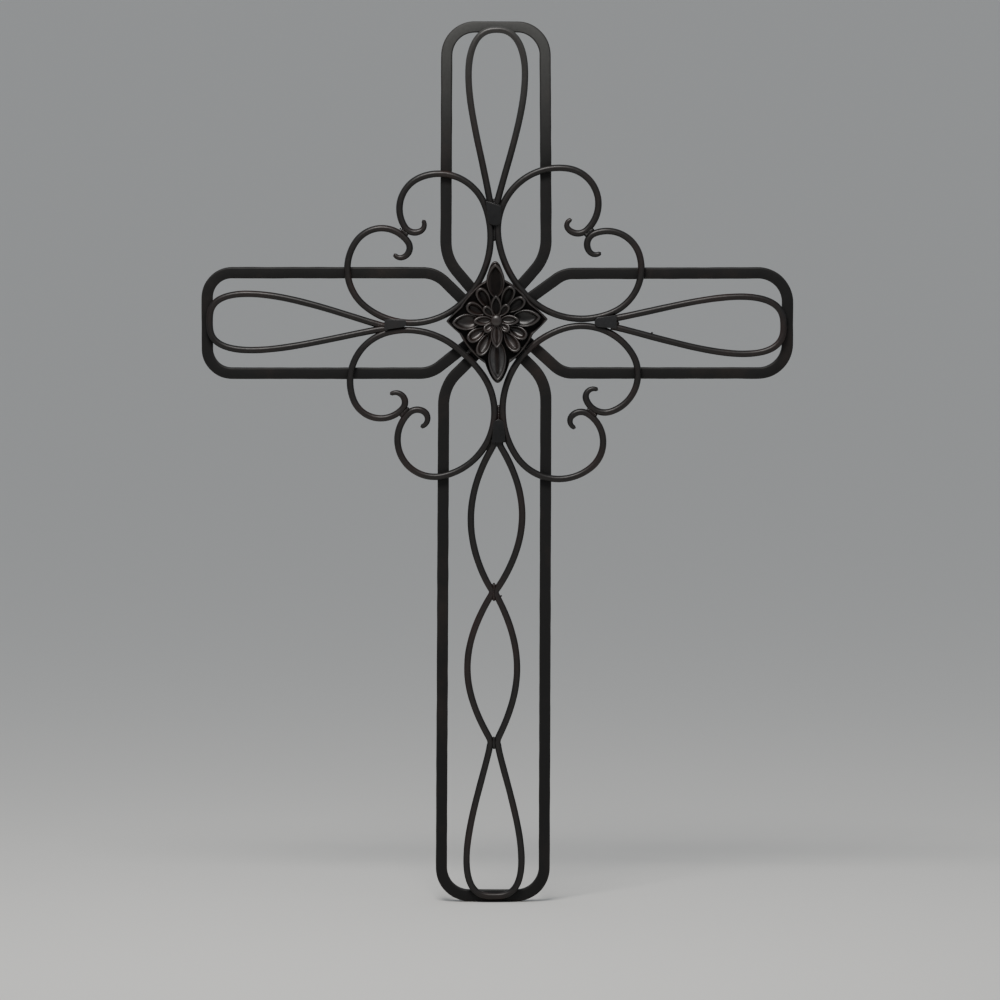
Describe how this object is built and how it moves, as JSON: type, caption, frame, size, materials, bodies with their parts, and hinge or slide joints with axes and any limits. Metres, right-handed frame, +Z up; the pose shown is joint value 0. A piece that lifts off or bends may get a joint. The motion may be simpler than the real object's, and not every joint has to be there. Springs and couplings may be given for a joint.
{
  "type": "wall cross",
  "caption": "Wrought metal wall cross of square bar arms filled with round-rod scrolls and teardrop loops, with a cast pointed flower medallion at the crossing.",
  "frame": {"origin": "middle of the underside of the top bar at its mid depth, where the cross rests on its wall hook", "axes": "+Z up the long arms, +X across to the viewer's right, +Y into the wall, so that the front faces -Y"},
  "size_m": [0.5255, 0.0278, 0.784],
  "materials": {
    "bar_black": "satin black with a dark brown rub-through, slightly uneven",
    "rod_black": "satin black with a dark reddish brown rub-through",
    "tab_black": "satin black",
    "cast_brown": "satin dark brown casting, its raised rims rubbed lighter"
  },
  "bodies": {
    "root": {"frame_arm_top": "bar_black", "frame_arm_left": "bar_black", "frame_arm_bottom": "bar_black", "frame_arm_right": "bar_black", "heart_upper_left": "rod_black", "heart_upper_right": "rod_black", "heart_lower_left": "rod_black", "heart_lower_right": "rod_black", "petal_top": "rod_black", "petal_left": "rod_black", "petal_right": "rod_black", "lower_strand": "rod_black", "junction_tab_top": "tab_black", "junction_tab_left": "tab_black", "junction_tab_right": "tab_black", "junction_tab_bottom": "tab_black", "medallion": "cast_brown"}
  },
  "joints": []
}
